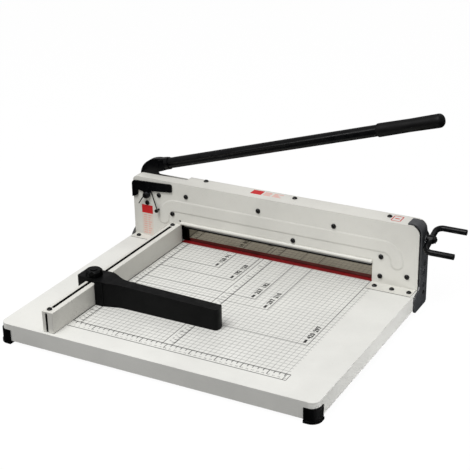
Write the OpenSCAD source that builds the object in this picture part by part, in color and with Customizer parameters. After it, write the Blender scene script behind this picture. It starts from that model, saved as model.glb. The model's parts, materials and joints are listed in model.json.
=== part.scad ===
// Guillotine paper cutter for A3 stacks, built as separate parts.
// Millimetres, +Z up. The origin is on the ground, under the middle of the box that
// holds the whole machine with its lever down.
// Most modules work from the datum: the point of the table top where the inner
// face of the fence meets the plane of the blade's front face. +X runs along the
// blade, away from the fence, and +Y to the back.

/* [Table] */
// Width of the table, along the blade
table_w = 639.7; // [620:0.1:680]
// Depth of the table, front to back
table_d = 504; // [480:1:540]
// Height of the table top above the ground
table_h = 40; // [38:1:50]
// Height of the apron round the table
apron_h = 33; // [24:1:34]
// Sheet thickness of the table
table_t = 1.8; // [1.2:0.1:2.4]
// Corner radius of the table in plan
table_r = 15; // [8:1:20]
// Distance from the left edge of the table to the fence's inner face
fence_offset = 117.3; // [117:0.1:124]
// Distance from the blade's front face to the rear edge of the table
rear_offset = 33.2; // [33:0.1:38]

/* [Housing] */
// Height of the housing above the table
housing_h = 131.8; // [130:0.1:140]
// Height of the paper throat
throat_h = 41.2; // [38:0.1:41.2]
// Width of the paper throat, from the fence
throat_w = 428.5; // [428:0.1:430]
// Sheet thickness of the housing panels
panel_t = 1.5; // [1.2:0.1:1.5]
// Depth of the front panel's right foot flange
flange_d = 31.5; // [24:0.1:33]
// Height of the pressed bead above the panel's face
bead_h = 0.3; // [0.2:0.1:0.8]

/* [Fence and gauge] */
// Height of the fence
fence_h = 41.4; // [36:0.1:41.4]
// Thickness of the fence
fence_t = 23; // [20:1:24]
// Width of the slot along the fence
fence_slot = 6; // [4.9:0.1:6.4]
// Length of the back gauge's arm, from the fence
gauge_l = 259; // [180:1:300]
// Distance from the blade's front face to the gauge's front face
gauge_at = 324; // [310:0.1:330]

/* [Lever and blade] */
// Angle of the lever above level when the blade is down
lever_rise = 16.73; // [15:0.01:18]
// Outer diameter of the lever's tube
tube_d = 22.5; // [20:0.1:23]
// Length of bare tube between hub and grip
tube_l = 480.3; // [400:0.1:500]
// Diameter of the grip
grip_d = 26.5; // [25:0.1:30]
// Length of the grip
grip_l = 134; // [110:1:140]
// Distance from the lever's pivot to the blade carrier's pin
crank_l = 56.7; // [54:0.1:57]
// Height of the blade
blade_h = 62; // [58:1:62]
// Thickness of the blade
blade_t = 4; // [3:0.1:4]

/* [Paper clamp] */
// Height of the clamp bar's pad above the table, as built
clamp_gap = 31.5; // [26:0.1:42]
// Travel of the clamp bar
clamp_travel = 40.8; // [36:0.1:40.8]
// Diameter of the clamp screw
screw_d = 12; // [10:0.5:12]
// Distance between the two prongs of the clamp handle
handle_span = 74.2; // [60:0.1:80]
// Diameter of the handle's bar
handle_d = 11.4; // [8:0.1:12]

/* [Hidden] */
$fn = 48;
eps = 0.01;
lap = 0.3;               // how far sheet parts lap over a bend
gap = 0.1;               // a close gap between parts that meet
left_x = -fence_offset;  // left and right edges of the table, from the datum
right_x = table_w - fence_offset;
rear_y = rear_offset;
front_y = rear_offset - table_d;
ground_z = -table_h;

// Stations front to back through the housing, from the blade's front face
panel_y = -11.4;                    // front face of the front panel
inside_y = panel_y + panel_t;       // its inner face
slider_y = inside_y + 0.3;          // front face of the slider
slider_t = 3;
bar_y = slider_y + slider_t + 0.3;  // front face of the clamp bar
bar_t = 5;
carrier_y = blade_t;                // front face of the blade carrier
carrier_t = 7.4;
arm_y = 14.9;                       // front face of the lever's arm
arm_t = 14;
arm_mid = arm_y + arm_t / 2;
slot_y = 13.8;                      // front edge of the lever slot
rear_in = 30;                       // inner face of the rear panel
rear_out = rear_in + panel_t;

// Linkage: the lever's pivot, its pin on the carrier, and the link that keeps
// the carrier level
pivot = [-51.5, 97.4];
pin = pivot + crank_l * [cos(45), -sin(45)];
link_span = 423;
link_pivot = pivot + [link_span, 0];
link_pin = pin + [link_span, 0];
pin_r = 6;
shoulder_r = 7;
run = 0.05;                         // radial clearance of a running fit

// Lever
tube_x = -42;                       // centre of the tube where it leaves the hub
tube_z = 159.5;
socket = 8;                         // depth of the tube's socket in the hub
tube_pin_at = -4;                   // place of the pin along the tube
tube_pin_r = 2.5;
lever_slot_x = 3;                   // right end of the lever's slot in the housing

// Clamp screw
screw_r = screw_d / 2;
screw_y = 14.6;
screw_z = 100.5;
plate_x = right_x + 0.3;            // inner face of the right side plate
plate_t = 3;
handle_x = plate_x + plate_t + 9.3; // plane of the handle's crossbar
prong_l = 58;
bend_r = 13;
handle_tilt = 17;
clamp_up = 11;                      // how far the clamp still goes up
clamp_down = clamp_travel - clamp_up;

// Latch
latch_at = [-80, 95];
latch_y = panel_y - 3.6;            // front face of the latch
latch_t = 3;
post_at = [-53.5, 65];

// Screws through the front panel, as [x, z]
rail_screws = [[14, 105], [181, 104], [346, 102]];
stud_at = [258.5, 54.5];
guide_screws = [[-20, 61], [446, 57]];
spacer_at = [[-81, 76], [445, 16], [500, 25]];
side_screws = [[5, 14], [5, 40]];   // through the left side plate, as [y, z]
foot_screw_at = [[-100, -21.5], [441, -28.8], [476.5, -28.8], [511.3, -28.8]];
top_screw_at = [[43, 23.4], [248, 18.4], [451, 14.4]];
fence_screw_y = [-453, -23.2];
fence_mid = -13.8;
bolt_x = [for (i = [0:7]) 43 + 53.1 * i];
bolt_z = 34;
gauge_knob_y = -310.6;
clamp_pin_x = [70, 196, 396];
clamp_pin_z = clamp_gap + 49.5;

// Plan of the box round the whole machine, lever down: the soles of the front left
// foot to the handle's tips and its rear prong
foot_lip = 2.2;
sole_lip = 3.6;
pad_t = 1.2;
latch_left = -115.6;
house_left = -114.2;                // left and right edges of the housing
house_right = right_x - 1;
house_r = [10, 18];                 // radius of its left and right top corners
box_low = [left_x - sole_lip, front_y - sole_lip];
box_high = [handle_x + prong_l, screw_y + handle_span / 2 * cos(handle_tilt) + handle_d / 2];

// ---- helpers ----

// Moves from the origin to the datum.
module from_datum() {
  middle = (box_low + box_high) / 2;
  translate([-middle[0], -middle[1], table_h]) children();
}

// Extrudes an outline drawn in X and Z from y0 to y1.
module plate_xz(y0, y1) {
  translate([0, y1, 0]) rotate([90, 0, 0]) linear_extrude(y1 - y0) children();
}

// Extrudes an outline drawn in Y and Z from x0 to x1.
module plate_yz(x0, x1) {
  translate([x0, 0, 0]) rotate([90, 0, 90]) linear_extrude(x1 - x0) children();
}

// A block between two corners.
module block(low, high) {
  translate(low) cube(high - low);
}

// A round bar along Y at [x, z].
module rod_y(at, y0, y1, r) {
  translate([at[0], y1, at[1]]) rotate([90, 0, 0]) cylinder(r = r, h = y1 - y0);
}

// A round bar along X at [y, z].
module rod_x(at, x0, x1, r) {
  translate([x0, at[0], at[1]]) rotate([0, 90, 0]) cylinder(r = r, h = x1 - x0);
}

// A round-ended slot outline from a to b. Its middle is a hair narrower than its
// ends, so that the edges cross and never just touch.
module slot_2d(a, b, r) {
  d = b - a;
  w = r - 0.03;
  translate(a) circle(r);
  translate(b) circle(r);
  translate(a) rotate(atan2(d[1], d[0])) translate([0, -w]) square([norm(d), 2 * w]);
}

// A rectangle outline with round corners.
module round_rect(low, high, r) {
  translate(low + [r, 0]) square([high[0] - low[0] - 2 * r, high[1] - low[1]]);
  translate(low + [0, r]) square([high[0] - low[0], high[1] - low[1] - 2 * r]);
  for (x = [low[0] + r, high[0] - r], y = [low[1] + r, high[1] - r]) translate([x, y]) circle(r);
}

// Points of an arc, for use in an outline.
function arc(c, rx, ry, a0, a1, n) =
  [for (i = [0:n]) let(a = a0 + (a1 - a0) * i / n) c + [rx * cos(a), ry * sin(a)]];

// A button-head screw standing on the plane z = 0, shank down.
module button_screw(head_r = 5, shank_r = 2.5, shank_l = 8) {
  difference() {
    union() {
      cylinder(r = head_r, h = 1.4);
      translate([0, 0, 1.4]) cylinder(r1 = head_r, r2 = head_r * 0.68, h = 1.7);
    }
    translate([0, 0, 1.5]) cylinder(r = head_r * 0.42, h = 3, $fn = 6);
  }
  translate([0, 0, -shank_l]) cylinder(r = shank_r, h = shank_l + eps);
}

// The same screw, driven into the front panel from the front.
module front_screw(at, shank_r = 2.5, shank_l = 5) {
  translate([at[0], panel_y, at[1]]) rotate([90, 0, 0]) button_screw(5, shank_r, shank_l);
}

// A hexagon nut along Y, starting at y0.
module nut_y(at, y0, r, bore_r, h) {
  difference() {
    translate([at[0], y0 + h, at[1]]) rotate([90, 0, 0]) cylinder(r = r, h = h, $fn = 6);
    rod_y(at, y0 - 1, y0 + h + 1, bore_r);
  }
}

// ---- table ----

module table_outline(grow = 0) {
  round_rect([left_x - grow, front_y - grow], [right_x + grow, rear_y + grow], table_r + grow);
}

module base_tray() {
  color([0.9, 0.89, 0.86]) from_datum() difference() {
    translate([0, 0, -apron_h]) linear_extrude(apron_h) table_outline();
    translate([0, 0, -apron_h - 1]) linear_extrude(apron_h + 1 - table_t) table_outline(-table_t);
    block([-3, -9.8, -5], [431, 7.2, 5]);
    for (y = fence_screw_y) translate([fence_mid, y, -5]) cylinder(r = 2.7, h = 10);
    foot_screw_places() cylinder(r = 2.7, h = 10, center = true);
  }
}

// The places of the screws that hold the housing down.
module foot_screw_places() {
  for (p = foot_screw_at) translate([p[0], p[1], 0]) children();
}

module base_ribs() {
  color([0.55, 0.55, 0.55]) from_datum() for (y = [-400, -270, -130]) difference() {
    block([left_x + 8, y - 20, -20], [right_x - 8, y + 20, -table_t - gap]);
    block([left_x + 5, y - 18.4, -25], [right_x - 5, y + 18.4, -table_t - gap - 1.6]);
  }
}

module corner_feet() {
  reach = 28.5;
  top_z = -11;
  sole_z = ground_z + pad_t;
  color([0.08, 0.08, 0.09]) from_datum() difference() {
    intersection() {
      union() {
        translate([0, 0, sole_z]) linear_extrude(top_z - sole_z) table_outline(foot_lip);
        translate([0, 0, sole_z]) linear_extrude(4.8) table_outline(sole_lip);
      }
      for (x = [left_x - 5, right_x + 5 - reach], y = [front_y - 5, rear_y + 5 - reach])
        block([x, y, ground_z], [x + reach, y + reach, 0]);
    }
    translate([0, 0, -apron_h - gap]) linear_extrude(apron_h) table_outline(0.1);
    block([right_x + gap, -50, ground_z], [right_x + 9, rear_y + 9, 0]);
    foot_places() cylinder(r = 2.2, h = 20);
  }
}

// The four foot screws' places, at the ground.
module foot_places() {
  for (x = [left_x + 9, right_x - 9], y = [front_y + 9, rear_y - 9]) translate([x, y, ground_z]) children();
}

module foot_pads() {
  color([0.15, 0.15, 0.15]) from_datum() foot_places() difference() {
    cylinder(r = 8, h = pad_t);
    translate([0, 0, -1]) cylinder(r = 4.5, h = 4);
  }
}

module foot_screws() {
  color([0.3, 0.3, 0.3]) from_datum() foot_places() {
    translate([0, 0, 0.2]) cylinder(r = 4, h = pad_t - 0.2);
    translate([0, 0, pad_t - 0.1]) cylinder(r = 2.1, h = 9);
  }
}

module cutting_stick() {
  color([0.55, 0.09, 0.1]) from_datum() block([-2, -9.6, -10], [430, 6.9, 0]);
}

module stick_channel() {
  color([0.5, 0.5, 0.5]) from_datum() difference() {
    block([-6, -12, -12.2], [434, 9.4, -table_t - gap]);
    block([-10, -9.8, -10.1], [440, 7.2, 5]);
  }
}

// ---- housing ----

// The pressed bead: a level band whose two ends turn down.
module bead_2d() {
  band = 25;
  outer = 42;
  low = 36;
  mid = 50;
  ends = [-12, 449];
  translate([ends[0], mid + outer - band]) square([ends[1] - ends[0], band]);
  for (i = [0, 1]) translate([ends[i], mid]) {
    side = i == 0 ? -1 : 1;
    intersection() {
      difference() {
        circle(outer, $fn = 72);
        circle(outer - band);
      }
      translate([side > 0 ? 0 : -outer, 0]) square(outer);
    }
    translate([side > 0 ? outer - band : -outer, low - mid + band / 2]) square([band, mid - low - band / 2]);
    translate([side * (outer - band / 2), low - mid + band / 2]) circle(band / 2);
  }
}

module panel_outline(throat = true) {
  x0 = house_left + house_r[0];
  x1 = house_right - house_r[1];
  difference() {
    union() {
      translate([x0, gap]) square([x1 - x0, housing_h - gap]);
      translate([house_left, gap]) square([x1 - house_left, housing_h - house_r[0]]);
      translate([x0, gap]) square([house_right - x0, housing_h - house_r[1]]);
      translate([x0, housing_h - house_r[0]]) circle(house_r[0]);
      translate([x1, housing_h - house_r[1]]) circle(house_r[1]);
    }
    if (throat) translate([0, -1]) square([throat_w, throat_h + 1]);
  }
}

// A quarter of a ring round the origin, in the upper left (side -1) or upper right
// quadrant. It is a hair thinner than the sheet it joins, which laps over its ends.
module bent_sheet(side, inner, t) {
  intersection() {
    difference() {
      circle(inner + t - 0.05);
      circle(inner + 0.05);
    }
    translate([side < 0 ? -60 : 0, 0]) square(60);
  }
}

// The bent sheet over a top corner of the housing.
module corner_sheet(side, y1) {
  r = side < 0 ? house_r[0] : house_r[1];
  x = side < 0 ? house_left + r : house_right - r;
  translate([x, 0, housing_h - r]) plate_xz(inside_y - 0.5, y1) bent_sheet(side, r - panel_t, panel_t);
}

module front_panel() {
  hem_r = 3.2;
  color([0.84, 0.83, 0.79]) from_datum() difference() {
    union() {
      plate_xz(panel_y, inside_y) panel_outline();
      plate_xz(panel_y - bead_h, panel_y + eps) difference() {
        bead_2d();
        for (p = guide_screws) translate(p) circle(6);
      }
      block([house_left, panel_y, gap], [house_left + panel_t, slot_y, housing_h - house_r[0] + lap]);
      corner_sheet(-1, slot_y);
      corner_sheet(1, rear_in - 0.2);
      block([house_left + house_r[0] - lap, panel_y, housing_h - panel_t],
        [lever_slot_x, slot_y, housing_h]);
      block([lever_slot_x - eps, panel_y, housing_h - panel_t],
        [house_right - house_r[1] + lap, rear_in - 0.2, housing_h]);
      block([house_left, panel_y - 20, gap], [-fence_t - 0.5, panel_y + eps, panel_t]);
      block([throat_w, panel_y - flange_d, gap], [right_x - 3, panel_y + eps, panel_t]);
      rod_x([inside_y - hem_r - 0.1, throat_h + hem_r], 0.3, throat_w, hem_r);
    }
    for (p = concat(rail_screws, guide_screws, spacer_at, [post_at])) rod_y(p, -30, 0, 2.6);
    rod_y(stud_at, -30, 0, 2.6);
    rod_y(pivot, -30, 0, 4.1);
    rod_y(latch_at, -30, 0, 3.1);
    rod_y([-2.4, 48], -30, 0, 2.2);
    for (p = top_screw_at) translate([p[0], p[1], 120]) cylinder(r = 2.2, h = 20);
    for (p = side_screws) rod_x(p, house_left - 5, house_left + 5, 2.6);
    foot_screw_places() cylinder(r = 2.7, h = 10, center = true);
  }
}

module rear_panel() {
  color([0.84, 0.83, 0.79]) from_datum() difference() {
    union() {
      plate_xz(rear_in, rear_out) panel_outline(false);
      block([10, slot_y + 1, housing_h - 2 * panel_t - gap],
        [right_x - 20, rear_in + eps, housing_h - panel_t - gap]);
      block([20, 20, gap], [right_x - 20, rear_in + eps, panel_t]);
    }
    block([house_left - 1, 20, housing_h - 4.5], [lever_slot_x, 40, housing_h + 1]);
    for (p = spacer_at) rod_y(p, 20, 40, 2.6);
    rod_y(pivot, 20, 40, 5.1);
    rod_y(link_pivot, 20, 40, 5.1);
    for (p = top_screw_at) translate([p[0], p[1], 120]) cylinder(r = 2.2, h = 20);
  }
}

// The left side plate stands on the table, against the housing.
left_plate_x = [house_left - gap - 2.2, house_left - gap];

module left_side_plate() {
  top_z = 50;
  outline = [[34, gap], [34, top_z], [-3, top_z], [-3, 16], [-14, 11], [-23, 3], [-23, gap]];
  color([0.12, 0.12, 0.13]) from_datum() difference() {
    plate_yz(left_plate_x[0], left_plate_x[1]) polygon(outline);
    for (p = side_screws) rod_x(p, house_left - 10, house_left, 2.6);
  }
}

// Holes down the right side plate, as [height, half length of the slot].
side_holes = [[49, 0], [33, 2.5], [5, 2.5], [-11, 0]];
side_hole_y = 12.4;

module right_side_plate() {
  bend = 17;
  top_z = housing_h + 0.2;
  bend_x = plate_x - bend;
  bend_z = top_z - bend;
  y0 = -8;
  y1 = 31;
  strip_y1 = 20.5;
  outline = [[y0, bend_z + lap], [y0, 8], [-13, 2], [-30, -5], [-34, -10], [-34, -33], [-31, -37],
    [-27, -39], [27, -39], [y1, -35], [y1, 104], [strip_y1, bend_z + lap]];
  color([0.2, 0.2, 0.21]) from_datum() difference() {
    union() {
      plate_yz(plate_x, plate_x + plate_t) polygon(outline);
      translate([bend_x, 0, bend_z]) plate_xz(y0 + lap, strip_y1 - lap) bent_sheet(1, bend, plate_t);
      block([right_x - 26, y0, top_z], [bend_x + lap, strip_y1, top_z + plate_t]);
    }
    for (h = side_holes) plate_yz(plate_x - 5, plate_x + 9)
      slot_2d([side_hole_y, h[0] - h[1]], [side_hole_y, h[0] + h[1] + eps], h[1] > 0 ? 3.2 : 2.7);
    rod_x([screw_y, screw_z], plate_x - 5, plate_x + 9, 9.02);
  }
}

module housing_spacers() {
  color([0.6, 0.6, 0.62]) from_datum() for (p = spacer_at) difference() {
    rod_y(p, inside_y + gap, rear_in - gap, 5);
    rod_y(p, -20, 40, 2.6);
  }
}

module panel_screws() {
  color([0.07, 0.07, 0.08]) from_datum() {
    for (p = concat(rail_screws, guide_screws)) front_screw(p, shank_l = 4.8);
    for (p = spacer_at) front_screw(p, shank_l = 16);
  }
}

module top_screws() {
  color([0.07, 0.07, 0.08]) from_datum() for (p = top_screw_at)
    translate([p[0], p[1], housing_h]) button_screw(shank_r = 2, shank_l = 5);
}

module flange_screws() {
  color([0.07, 0.07, 0.08]) from_datum() foot_screw_places()
    translate([0, 0, panel_t]) button_screw(shank_l = 10);
}

module rear_screws() {
  color([0.07, 0.07, 0.08]) from_datum() for (p = spacer_at)
    translate([p[0], rear_out, p[1]]) rotate([-90, 0, 0]) button_screw(shank_l = 16);
}

module side_plate_screws() {
  color([0.07, 0.07, 0.08]) from_datum() {
    for (z = [49, -11]) {
      rod_x([side_hole_y, z], plate_x + plate_t, plate_x + plate_t + 0.8, 4.2);
      rod_x([side_hole_y, z], plate_x - 0.2, plate_x + plate_t + eps, 2.5);
    }
    for (p = side_screws) {
      rod_x(p, left_plate_x[0] - 0.8, left_plate_x[0], 4.2);
      rod_x(p, left_plate_x[0] - eps, house_left + panel_t + 1, 2.5);
    }
  }
}

// ---- fence and back gauge ----

module fence_rail() {
  y0 = front_y + 6.5;
  tee = 6;
  slit = 2;
  slot_from = -444;
  slot_to = -30;
  color([0.87, 0.86, 0.83]) from_datum() difference() {
    block([-fence_t, y0, gap], [0, panel_y - 0.3, fence_h]);
    block([fence_mid - fence_slot / 2, slot_from, 18], [fence_mid + fence_slot / 2, slot_to, fence_h + 1]);
    block([fence_mid - tee, slot_from, 18], [fence_mid + tee, slot_to, 27]);
    block([fence_mid - slit, y0 - 1, -1], [fence_mid + slit, y0 + 1.6, fence_h - 3]);
    for (y = fence_screw_y) translate([fence_mid, y, -1]) cylinder(r = 2.7, h = 60);
  }
}

module fence_screws() {
  color([0.07, 0.07, 0.08]) from_datum() for (y = fence_screw_y)
    translate([fence_mid, y, fence_h]) button_screw(shank_l = fence_h + 7);
}

module fence_nuts() {
  color([0.6, 0.6, 0.62]) from_datum() for (y = fence_screw_y) translate([fence_mid, y, -6.2]) difference() {
    cylinder(r = 4.6, h = 4.2, $fn = 6);
    translate([0, 0, -1]) cylinder(r = 2.6, h = 7);
  }
}

gauge_y = [-333, -286];  // front and back of the gauge at the fence

// An eased line from a to b, level at both ends.
function ease(a, b, n) =
  [for (i = [0:n]) let(u = i / n, v = 0.5 - 0.5 * cos(180 * u))
    [a[0] + (b[0] - a[0]) * u, a[1] + (b[1] - a[1]) * v]];

// Plan of the gauge's arm: both sides swell where it meets the fence.
module gauge_plan() {
  arm_t = 24;
  y0 = -gauge_at;
  tip = 6;
  polygon(concat(
    [[0.8, gauge_y[0]]],
    ease([12, gauge_y[0]], [60, y0], 10),
    arc([gauge_l - tip, y0 + arm_t / 2], tip, arm_t / 2, -90, 90, 10),
    ease([52, y0 + arm_t], [10, gauge_y[1]], 10),
    [[0.8, gauge_y[1]]]));
}

module gauge_body() {
  low = 0.6;
  top = 50;
  left = -42;
  front = gauge_y[0] + 6;
  skirt_z = 23;
  color([0.07, 0.07, 0.08]) from_datum() difference() {
    union() {
      difference() {
        translate([0, 0, low]) linear_extrude(top - low) gauge_plan();
        plate_xz(gauge_y[0] - 5, gauge_y[1] + 5)
          polygon([[14, top], [60, 46.6], [gauge_l + 3, 41.6], [gauge_l + 3, top + 5], [14, top + 5]]);
      }
      translate([0, 0, fence_h + 0.6]) linear_extrude(top - fence_h - 0.6)
        round_rect([left, front], [13.5, gauge_y[1] - 0.5], 4);
      translate([0, 0, skirt_z]) linear_extrude(top - skirt_z)
        round_rect([left, front], [-fence_t - 0.8, gauge_y[1] - 0.5], 4);
    }
    translate([fence_mid, gauge_knob_y, 30]) cylinder(r = 2.6, h = 30);
  }
}

module gauge_bolt() {
  color([0.7, 0.7, 0.72]) from_datum() translate([fence_mid, gauge_knob_y, 0]) {
    translate([0, 0, 22]) cylinder(r = 2.3, h = 38);
    translate([-5, -7, 19]) cube([10, 14, 5]);
  }
}

module gauge_washer() {
  color([0.7, 0.7, 0.72]) from_datum() translate([fence_mid, gauge_knob_y, 50]) difference() {
    cylinder(r = 8, h = 1);
    translate([0, 0, -1]) cylinder(r = 2.4, h = 4);
  }
}

module gauge_knob() {
  knob_r = 16.5;
  color([0.06, 0.06, 0.07]) from_datum() translate([fence_mid, gauge_knob_y, 51.1]) difference() {
    union() {
      cylinder(r = knob_r, h = 8);
      translate([0, 0, 8]) cylinder(r1 = knob_r, r2 = knob_r - 3, h = 2.6);
      translate([0, 0, 10]) cylinder(r = 7, h = 2);
    }
    for (i = [0:4]) rotate(72 * i) translate([knob_r + 4, 0, -1]) cylinder(r = 7, h = 20);
    translate([0, 0, -1]) cylinder(r = 2.3 + run, h = 10);
  }
}

// ---- lever ----

// Places children with +Z along the lever's tube, from where it leaves the hub.
module along_tube() {
  translate([tube_x, arm_mid, tube_z]) rotate([0, 90 - lever_rise, 0]) children();
}

module hub_outline() {
  crown = arc([-61, 127], 50, 40.5, 180, 90, 12);
  polygon(concat(crown, [[-52, 169.6], [-46.5, 170], [-44, 147.2], [-50, 144.4], [-57, 141.5],
    [-68, 138], [-75, 134], [-73, 129], [-50, 124], pivot + [12, 12], pivot + [-14, 9.5],
    [-80, 110.5]]));
  polygon([pivot + [-13, 12], pivot + [8, 15], pin + [9, 11], pin + [-9, -10], pivot + [-12, -12]]);
  translate(pivot) circle(17);
  translate(pin) circle(14);
}

module lever_hub() {
  collar_r = 13;
  color([0.06, 0.06, 0.07]) from_datum() difference() {
    union() {
      plate_xz(arm_y, arm_y + arm_t) hub_outline();
      along_tube() translate([0, 0, -socket]) cylinder(r = collar_r, h = socket);
      // Below the socket the collar is flat on both sides, to pass the lever's slot.
      intersection() {
        along_tube() translate([0, 0, -22]) cylinder(r = collar_r - 0.05, h = 22.5 - socket);
        block([-200, slot_y + 0.6, 0], [200, rear_in - 0.6, 300]);
      }
    }
    along_tube() translate([0, 0, -socket]) cylinder(r = tube_d / 2 + 0.05, h = 30);
    along_tube() translate([0, 0, tube_pin_at]) rotate([90, 0, 0])
      cylinder(r = tube_pin_r, h = 40, center = true);
    rod_y(pivot, 0, 40, 9.02);
    rod_y(pin, 0, 40, pin_r + run);
  }
}

module lever_tube() {
  wall = 2.5;
  color([0.07, 0.07, 0.08]) from_datum() along_tube() difference() {
    translate([0, 0, 0.2 - socket]) cylinder(r = tube_d / 2, h = tube_l + 110 + socket);
    translate([0, 0, -socket - 1]) cylinder(r = tube_d / 2 - wall, h = tube_l + 140);
    translate([0, 0, tube_pin_at]) rotate([90, 0, 0]) cylinder(r = tube_pin_r, h = 40, center = true);
  }
}

module lever_grip() {
  r = grip_d / 2;
  nose = 10;
  profile = concat(
    [[0, 0], [tube_d / 2 + 0.1, 0], [r - 2.2, 0]],
    arc([r - 2.2, 3], 2.2, 3, -90, 0, 6),
    [[r - 0.7, grip_l * 0.5]],
    arc([r - nose, grip_l - nose], nose, nose, 0, 90, 10),
    [[0, grip_l]]);
  color([0.05, 0.05, 0.055]) from_datum() along_tube() translate([0, 0, tube_l]) difference() {
    rotate_extrude($fn = 64) polygon(profile);
    translate([0, 0, -1]) cylinder(r = tube_d / 2 + 0.05, h = 112);
  }
}

module tube_pin() {
  color([0.07, 0.07, 0.08]) from_datum() along_tube() translate([0, 0, tube_pin_at])
    rotate([90, 0, 0]) cylinder(r = tube_pin_r - run, h = 25.4, center = true);
}

module lever_bush() {
  color([0.72, 0.55, 0.25]) from_datum() difference() {
    rod_y(pivot, arm_y, arm_y + arm_t, 9);
    rod_y(pivot, 0, 40, shoulder_r + run);
  }
}

module lever_bolt() {
  color([0.07, 0.07, 0.08]) from_datum() {
    front_screw(pivot, 4, 3);
    rod_y(pivot, inside_y, rear_in - gap, shoulder_r);
    rod_y(pivot, rear_in - 1, rear_out + 8, 5);
  }
}

module lever_spacer() {
  color([0.6, 0.6, 0.62]) from_datum() difference() {
    rod_y(pivot, inside_y + gap, arm_y - 0.3, 10);
    rod_y(pivot, -20, 40, shoulder_r + run);
  }
}

module lever_nut() {
  color([0.6, 0.6, 0.62]) from_datum() nut_y(pivot, rear_out + gap, 9, 5.05, 6);
}

// ---- blade ----

carrier_x = [-24, 426];
carrier_z = [22, 81];
blade_x = [-4, 428];

module blade_carrier() {
  color([0.5, 0.5, 0.52]) from_datum() difference() {
    block([carrier_x[0], carrier_y + gap, carrier_z[0]], [carrier_x[1], carrier_y + carrier_t, carrier_z[1]]);
    for (x = bolt_x) rod_y([x, bolt_z], 0, 40, 2.6);
    for (p = [pin, link_pin]) rod_y(p, 0, 40, pin_r);
  }
}

module blade() {
  ground = 9.4;
  edge_z = 0.3;
  edge_t = 0.3;
  color([0.75, 0.75, 0.77]) from_datum() difference() {
    plate_yz(blade_x[0], blade_x[1])
      polygon([[0, ground], [blade_t - edge_t, edge_z], [blade_t, edge_z], [blade_t, blade_h], [0, blade_h]]);
    for (x = bolt_x) {
      rod_y([x, bolt_z], -5, 10, 2.6);
      translate([x, -eps, bolt_z]) rotate([-90, 0, 0]) cylinder(r1 = 5.2, r2 = 2.6, h = 2.6);
    }
  }
}

module blade_bolts() {
  color([0.07, 0.07, 0.08]) from_datum() for (x = bolt_x) translate([x, 0, bolt_z]) rotate([-90, 0, 0]) {
    translate([0, 0, -0.8]) cylinder(r = 5, h = 0.8 + eps);
    cylinder(r1 = 5, r2 = 2.5, h = 2.5);
    cylinder(r = 2.5, h = 11);
  }
}

module carrier_pins() {
  color([0.7, 0.7, 0.72]) from_datum() for (p = [pin, link_pin])
    rod_y(p, carrier_y + 0.2, arm_y + arm_t - 0.3, pin_r);
}

module link_arm() {
  y1 = arm_y + 8;
  color([0.5, 0.5, 0.52]) from_datum() difference() {
    plate_xz(arm_y, y1) {
      slot_2d(link_pivot, link_pin, 11);
      translate(link_pivot) circle(14);
      translate(link_pin) circle(13);
    }
    rod_y(link_pivot, 0, 40, pin_r + run);
    rod_y(link_pin, 0, 40, pin_r + 0.5);
  }
}

module link_stud() {
  color([0.7, 0.7, 0.72]) from_datum() {
    rod_y(link_pivot, carrier_y + carrier_t + 0.5, arm_y - 0.4, 9);
    rod_y(link_pivot, arm_y - 1, rear_in - gap, pin_r);
    rod_y(link_pivot, rear_in - 1, rear_out + 8, 5);
  }
}

module link_spacer() {
  color([0.6, 0.6, 0.62]) from_datum() difference() {
    rod_y(link_pivot, arm_y + 8.3, rear_in - gap, 10);
    rod_y(link_pivot, 0, 40, pin_r + run);
  }
}

module link_nut() {
  color([0.6, 0.6, 0.62]) from_datum() nut_y(link_pivot, rear_out + gap, 9, 5.05, 6);
}

// ---- paper clamp ----

block_screw_x = [463, 475];
bar_x = [4, 424];
bar_z = [clamp_gap, clamp_gap + 56.5];
pad_h = 3.5;

module clamp_bar() {
  color([0.6, 0.6, 0.62]) from_datum() difference() {
    block([bar_x[0], bar_y, bar_z[0] + pad_h], [bar_x[1], bar_y + bar_t, bar_z[1]]);
    for (x = clamp_pin_x) rod_y([x, clamp_pin_z], -20, bar_y + 4, 3.5);
  }
}

module clamp_pad() {
  color([0.12, 0.12, 0.12]) from_datum()
    block([bar_x[0], bar_y, bar_z[0]], [bar_x[1], bar_y + bar_t, bar_z[0] + pad_h]);
}

module clamp_pins() {
  color([0.7, 0.7, 0.72]) from_datum()
    for (x = clamp_pin_x) rod_y([x, clamp_pin_z], slider_y + 0.2, bar_y + 4, 3.5);
}

module clamp_slider() {
  color([0.55, 0.55, 0.57]) from_datum() difference() {
    plate_xz(slider_y, slider_y + slider_t)
      polygon([[26, 43], [402, 43], [402, 74], [481, 74], [481, 98], [26, 98]]);
    plate_xz(slider_y - 1, slider_y + slider_t + 1) {
      for (x = clamp_pin_x)
        slot_2d([x + clamp_up, clamp_pin_z + clamp_up], [x - clamp_down, clamp_pin_z - clamp_down], 3.7);
      slot_2d(stud_at + [clamp_up, 0], stud_at - [clamp_down, 0], 4.1);
    }
    for (x = block_screw_x) rod_y([x, 90], -20, 0, 1.8);
  }
}

module slider_rail() {
  color([0.6, 0.6, 0.62]) from_datum() difference() {
    block([5, inside_y + gap, 98.3], [428, bar_y - gap, 111]);
    for (p = rail_screws) rod_y(p, -20, 0, 2.6);
  }
}

module slider_stud() {
  color([0.07, 0.07, 0.08]) from_datum() {
    front_screw(stud_at, 2.5, panel_t + 1);
    rod_y(stud_at, inside_y, slider_y + slider_t, 4);
  }
}

module blade_guides() {
  color([0.72, 0.55, 0.25]) from_datum() difference() {
    union() {
      block([-28, inside_y + gap, 46], [-13, carrier_y - 0.2, 76]);
      block([438, inside_y + gap, 42], [460, -0.3, 72]);
    }
    for (p = guide_screws) rod_y(p, -20, 10, 2.6);
  }
}

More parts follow.
